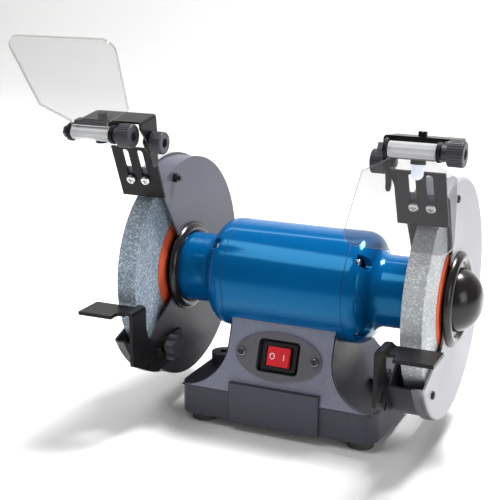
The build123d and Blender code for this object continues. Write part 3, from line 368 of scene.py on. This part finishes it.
def build_materials():
    """Every finish of the grinder, by material slot or by node name."""
    m = MATERIALS
    blue = (0.0, 0.088, 0.262)
    sheen = (0.12, 0.62, 1.0)
    m["motor_blue"] = paint(
        "motor_blue", blue, 0.13, 500.0, 0.00002, 0.05, dust=0.02, gloss=0.75, sheen=sheen
    )
    m["bell_blue"] = m["motor_blue"]
    slate = (0.038, 0.038, 0.056)
    m["base_paint"] = paint("base_paint", slate, 0.45, 1400.0, 0.00012, 0.10, speckle=0.35, gloss=0.4)
    m["panel_paint"] = paint("panel_paint", (0.18, 0.19, 0.25), 0.5, 1500.0, 0.00008, 0.06, speckle=0.35)
    m["foot_rubber"] = paint("foot_rubber", (0.06, 0.065, 0.065), 0.75, 700.0, 0.00008, 0.12)
    m["switch_plate_grey"] = paint("switch_plate_grey", (0.105, 0.105, 0.118), 0.36, 1200.0, 0.00004)
    m["cup_black"] = paint("cup_black", (0.012, 0.012, 0.013), 0.6)
    m["housing_black"] = paint("housing_black", (0.010, 0.010, 0.012), 0.35)
    m["rocker_red"] = paint("rocker_red", (0.62, 0.02, 0.03), 0.22, 400.0, 0.00001, 0.04, 0.3)
    # Painted shade: the guards and the rims of the guard covers turn near black towards the bottom.
    painted_shade_black = (0.007, 0.006, 0.007)
    for side, out in (("right", -1), ("left", 1)):
        guard = "wheel_guard_" + side
        m[guard] = paint(
            guard,
            (0.088, 0.09, 0.118),
            0.34,
            1100.0,
            0.00006,
            painted_shade_foot=(painted_shade_black, 0.13, 0.215),
            guard_side=out,
            gloss=0.2,
        )
        cover = "guard_cover_" + side
        m[cover] = paint(
            cover,
            (0.31, 0.31, 0.345),
            0.4,
            1100.0,
            0.00006,
            0.04,
            painted_shade_foot=(painted_shade_black, 0.075, 0.16),
            rim=(0.29, 0.29, 0.32),
            guard_side=-out,
        )
    # Painted reflection and shade: the dome and ring on each guard cover are near black, standing in for
    # the dark reflection and shade seen on them.
    m["cap_dark"] = paint("cap_dark", (0.012, 0.010, 0.011), 0.2, 1100.0, 0.00003, gloss=0.4, dust=0.02)
    black = (0.006, 0.0055, 0.006)
    m["sheet_black"] = paint("sheet_black", black, 0.30, 1200.0, 0.00004, gloss=0.2, dust=0.02)
    black = (0.006, 0.0055, 0.0065)
    m["rest_black"] = paint("rest_black", black, 0.34, 1200.0, 0.00005, gloss=0.22, dust=0.02)
    black = (0.006, 0.006, 0.007)
    m["lamp_black"] = paint("lamp_black", black, 0.4, 1500.0, 0.00006, gloss=0.2, dust=0.02)
    m["switch_black"] = m["lamp_black"]
    m["knob_grey"] = paint("knob_grey", (0.042, 0.042, 0.053), 0.4, 1300.0, 0.00006, gloss=0.4, dust=0.03)
    m["black_screws"] = paint("black_screws", (0.02, 0.02, 0.02), 0.35, 900.0, 0.00003, 0.1, 0.0, 0.6)
    m["black_bolts"] = m["black_screws"]
    m["gland_black"] = m["lamp_black"]
    m["terminal_white"] = paint("terminal_white", (0.62, 0.6, 0.54), 0.5)
    m["blotter_card"] = paint("blotter_card", (0.80, 0.11, 0.035), 0.8, 600.0, 0.0001, 0.15)
    copper = (0.55, 0.22, 0.09)
    m["winding_copper"] = metal("winding_copper", copper, 0.35, 220.0, (3.0, 30.0, 30.0), 0.0003)
    m["silver_screws"] = metal("silver_screws", (0.70, 0.70, 0.70), 0.2)
    m["switch_screws"] = metal("switch_screws", (0.22, 0.22, 0.22), 0.25)
    m["zinc_screws"] = metal("zinc_screws", (0.6, 0.6, 0.57), 0.32)
    m["bolt_steel"] = metal("bolt_steel", (0.66, 0.66, 0.66), 0.28)
    m["nut_steel"] = metal("nut_steel", (0.5, 0.5, 0.5), 0.35)
    m["shaft_steel"] = metal("shaft_steel", (0.6, 0.6, 0.61), 0.25, 80.0, (30.0, 1.0, 1.0))
    m["flange_steel"] = metal("flange_steel", (0.10, 0.10, 0.11), 0.22, 60.0, (1.0, 8.0, 8.0))
    m["bearing_steel"] = metal("bearing_steel", (0.7, 0.7, 0.71), 0.15)
    m["rotor_steel"] = metal("rotor_steel", (0.4, 0.4, 0.42), 0.4, 90.0, (40.0, 1.0, 1.0), 0.0001)
    steel = (0.32, 0.33, 0.35)
    m["lamination_steel"] = metal("lamination_steel", steel, 0.4, 120.0, (60.0, 1.0, 1.0), 0.0002)
    m["capacitor_can"] = metal("capacitor_can", (0.72, 0.72, 0.74), 0.3)
    m["cover_zinc"] = metal("cover_zinc", (0.5, 0.5, 0.51), 0.38, 40.0, (1.0, 1.0, 14.0))
    m["abrasive_left"] = abrasive("abrasive_left", (0.18, 0.24, 0.30), (0.42, 0.50, 0.58))
    m["abrasive_right"] = abrasive("abrasive_right", (0.42, 0.45, 0.47), (0.58, 0.61, 0.63))
    sheet, edge = (0.16, 0.16, 0.17), (0.26, 0.26, 0.24)
    # The right shield's film is denser than the left's: painted shade against the brighter backdrop
    # behind it.
    for side, rise, film_and_painted_shade in (("left", SHIELD_UP, 0.14), ("right", SHIELD_DOWN, 0.28)):
        across = (0.0, math.sin(rise), math.cos(rise))
        low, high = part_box("shield_knob_" + side)
        barrel = ((low.y + high.y) / 2, (low.z + high.z) / 2)
        m["shield_" + side] = clear("shield_clear_" + side, sheet, film_and_painted_shade, edge, across, barrel)
    m["lens_clear"] = lit_lens("lens_clear", (0.80, 0.86, 1.0), 1.1)


build_materials()


# ---------------------------------------------------------------- dressing the CAD nodes
def dress_nodes():
    """Give every CAD node its procedural finish, by its own name or by its material slot."""
    slots = {s["node"]: s["material_slot"] for s in frame["record"]["subparts"]}
    for name, obj in NODES.items():
        obj.data.materials.clear()
        obj.data.materials.append(MATERIALS[name if name in MATERIALS else slots[name]])


dress_nodes()


# ---------------------------------------------------------------- pieces made here
SWITCH_Z = 0.080
PANEL_SLOPE = 0.34                       # how far the front leans back for each unit of height
PANEL_TOP = (-0.044, 0.1095)             # (y, z) of the top of the leaning front
PANEL_HALF = 0.0545                      # half width of the straight part of the front panel
PANEL_FLARE = 0.045                      # radius of the flare on each side
PANEL_FOOT = 0.041                       # height where the flare meets the base
PANEL_LINE_TOP = 0.107
ROCKER_TILT = math.radians(9.0)
ROCKER_FACE = math.atan2(1.7, 12.3)      # slope of each half of the rocker
ROCKER_PIVOT = -0.004                    # along the panel's outward direction
ROCKER_HUB = 0.002
MARK_OUT = 0.0066                        # from the rocker's middle to each mark
MARK_HIGH = 0.00245
SEAM_X = 0.062
SEAM_R = 0.0554
RING_STEPS = 96


def new_piece(name, bm, material, body):
    """Turn a bmesh into an object that rides on a CAD body."""
    mesh = bpy.data.meshes.new(name)
    bmesh.ops.recalc_face_normals(bm, faces=bm.faces)
    bm.to_mesh(mesh)
    bm.free()
    mesh.shade_smooth()
    mesh.materials.append(MATERIALS[material])
    obj = bpy.data.objects.new(name, mesh)
    bpy.context.scene.collection.objects.link(obj)
    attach(obj, body)


def sweep(bm, path, section, closed=False):
    """Sweep a closed section of (side, up) points along a path of (point, side, up) frames."""
    rings = []
    for point, side, up in path:
        rings.append([bm.verts.new(point + side * a + up * b) for a, b in section])
    count = len(section)
    last = len(rings) if closed else len(rings) - 1
    for i in range(last):
        first, second = rings[i], rings[(i + 1) % len(rings)]
        for j in range(count):
            bm.faces.new((first[j], first[(j + 1) % count], second[(j + 1) % count], second[j]))
    if not closed:
        bm.faces.new(rings[0])
        bm.faces.new(rings[-1])


def round_section(radius, flat=1.0, sides=10):
    """A circle or flattened circle of section points."""
    turns = [2 * math.pi * i / sides for i in range(sides)]
    return [(radius * math.cos(t), radius * flat * math.sin(t)) for t in turns]


def ring_path(x, radius):
    """Frames round a circle about the spindle's axis."""
    path = []
    for i in range(RING_STEPS):
        t = 2 * math.pi * i / RING_STEPS
        out = Vector((0, math.cos(t), math.sin(t)))
        path.append((Vector((x, 0, SHAFT_Z)) + out * radius, out, Vector((1, 0, 0))))
    return path


def panel_matrix():
    """Frame of the leaning front: X across, Y up the face, Z outwards."""
    size = math.hypot(1.0, PANEL_SLOPE)
    across = Vector((1, 0, 0))
    out = Vector((0, -1 / size, PANEL_SLOPE / size))
    up = out.cross(across)
    origin = Vector((0, PANEL_TOP[0] - (PANEL_TOP[1] - SWITCH_Z) * PANEL_SLOPE, SWITCH_Z))
    turn = Matrix((across, up, out)).transposed().to_4x4()
    return Matrix.Translation(origin) @ turn


def rocker_marks():
    """The moulded off and on marks on the two faces of the rocker."""
    rocker = panel_matrix() @ Matrix.Translation((0, 0, ROCKER_PIVOT))
    rocker = rocker @ Matrix.Rotation(-ROCKER_TILT, 4, "Y") @ Matrix.Translation((0, 0, ROCKER_HUB))
    for side in (-1, 1):
        face = rocker @ Matrix.Translation((side * MARK_OUT, 0, MARK_HIGH))
        face = face @ Matrix.Rotation(-side * ROCKER_FACE, 4, "Y")
        bm = bmesh.new()
        if side < 0:
            path = []
            for i in range(32):
                t = 2 * math.pi * i / 32
                out = Vector((math.cos(t), math.sin(t), 0))
                path.append((Vector((0.0024 * out.x, 0.0027 * out.y, 0)), out, Vector((0, 0, 1))))
            sweep(bm, path, round_section(0.00042, 0.5, 8), closed=True)
        else:
            across, out = Vector((1, 0, 0)), Vector((0, 0, 1))
            bar = [(Vector((0, y, 0)), across, out) for y in (-0.003, 0.0, 0.003)]
            sweep(bm, bar, round_section(0.00048, 0.45, 8))
        bmesh.ops.transform(bm, matrix=face, verts=bm.verts)
        name = "rocker_mark_off" if side < 0 else "rocker_mark_on"
        new_piece(name, bm, "mark_white", "rocker")


def barrel_seams():
    """Dark sealing beads where the end bells meet the motor barrel."""
    for side, name in ((-1, "left"), (1, "right")):
        bm = bmesh.new()
        sweep(bm, ring_path(side * SEAM_X, SEAM_R), round_section(0.00035), closed=True)
        new_piece("motor_seam_" + name, bm, "seam_dark", "frame_body")


def panel_lines():
    """Dark joint lines along the flared edges of the front panel."""
    for side, name in ((-1, "left"), (1, "right")):
        path = []
        places = [(PANEL_HALF, PANEL_LINE_TOP), (PANEL_HALF, PANEL_FOOT + PANEL_FLARE)]
        for i in range(1, 17):
            t = math.pi / 2 * i / 16
            x = PANEL_HALF + PANEL_FLARE * (1 - math.cos(t))
            places.append((x, PANEL_FOOT + PANEL_FLARE * (1 - math.sin(t))))
        for x, z in places:
            y = PANEL_TOP[0] - (PANEL_TOP[1] - z) * PANEL_SLOPE
            path.append((Vector((side * x, y, z)), Vector((1, 0, 0)), Vector((0, 0, 1))))
        bm = bmesh.new()
        sweep(bm, path, round_section(0.0006, 1.0, 8))
        new_piece("panel_joint_" + name, bm, "joint_black", "frame_body")


MATERIALS["joint_black"] = paint("joint_black", (0.006, 0.006, 0.008), 0.5)
MATERIALS["mark_white"] = paint("mark_white", (0.85, 0.80, 0.80), 0.4, 900.0, 0.00001)
MATERIALS["seam_dark"] = paint("seam_dark", (0.002, 0.012, 0.04), 0.5)
rocker_marks()
barrel_seams()
panel_lines()


# ---------------------------------------------------------------- stage and lights
def make_stage():
    """A pale floor that curves up into a backdrop."""
    bm = bmesh.new()
    front, back, bend, top, half = -3.0, 2.2, 1.0, 3.5, 5.0
    profile = [(front, 0.0)]
    for i in range(13):
        t = math.pi / 2 * i / 12
        profile.append((back + bend * math.sin(t), bend * (1 - math.cos(t))))
    profile.append((back + bend, top))
    rows = [[bm.verts.new((x, y, z)) for x in (-half, half)] for y, z in profile]
    for low, high in zip(rows, rows[1:]):
        bm.faces.new((low[0], low[1], high[1], high[0]))
    mesh = bpy.data.meshes.new("floor")
    bmesh.ops.recalc_face_normals(bm, faces=bm.faces)
    bm.to_mesh(mesh)
    bm.free()
    mesh.shade_smooth()
    floor = bpy.data.objects.new("floor", mesh)
    bpy.context.scene.collection.objects.link(floor)
    material, tree, shader = nodes_of("floor")
    tone = ramp(tree, noise(tree, 2.0), [(0.3, (0.93, 0.93, 0.93)), (0.7, (0.95, 0.95, 0.95))])
    tree.links.new(tone, shader.inputs["Base Color"])
    shader.inputs["Roughness"].default_value = 0.6
    mesh.materials.append(material)


def area_light(name, place, target, size, power):
    """A soft rectangular lamp aimed at a point."""
    data = bpy.data.lights.new(name, "AREA")
    data.shape = "RECTANGLE"
    data.size, data.size_y = size
    data.energy = power
    light = bpy.data.objects.new(name, data)
    bpy.context.scene.collection.objects.link(light)
    light.location = place
    light.rotation_mode = "QUATERNION"
    light.rotation_quaternion = (Vector(target) - Vector(place)).to_track_quat("-Z", "Y")


def make_lights():
    """A key from the front left, a strong top light from behind, a fill and a lit backdrop."""
    world = bpy.data.worlds.new("studio")
    world.use_nodes = True
    background = world.node_tree.nodes["Background"]
    background.inputs["Color"].default_value = (1.0, 0.96, 0.93, 1)
    background.inputs["Strength"].default_value = 0.17
    bpy.context.scene.world = world
    area_light("key", (-0.7, -0.8, 1.7), (0, 0, 0.1), (1.0, 0.8), 12)
    area_light("top", (0.3, 0.55, 1.7), (0, 0.0, 0), (0.6, 0.5), 54)
    area_light("fill", (1.5, -0.9, 0.7), (0.05, 0, 0.15), (0.7, 0.9), 7)
    area_light("backdrop", (-0.7, 1.2, 2.4), (-1.2, 3.2, 0.6), (4.4, 0.8), 62)


make_stage()
make_lights()
bpy.context.scene.view_settings.view_transform = "Standard"
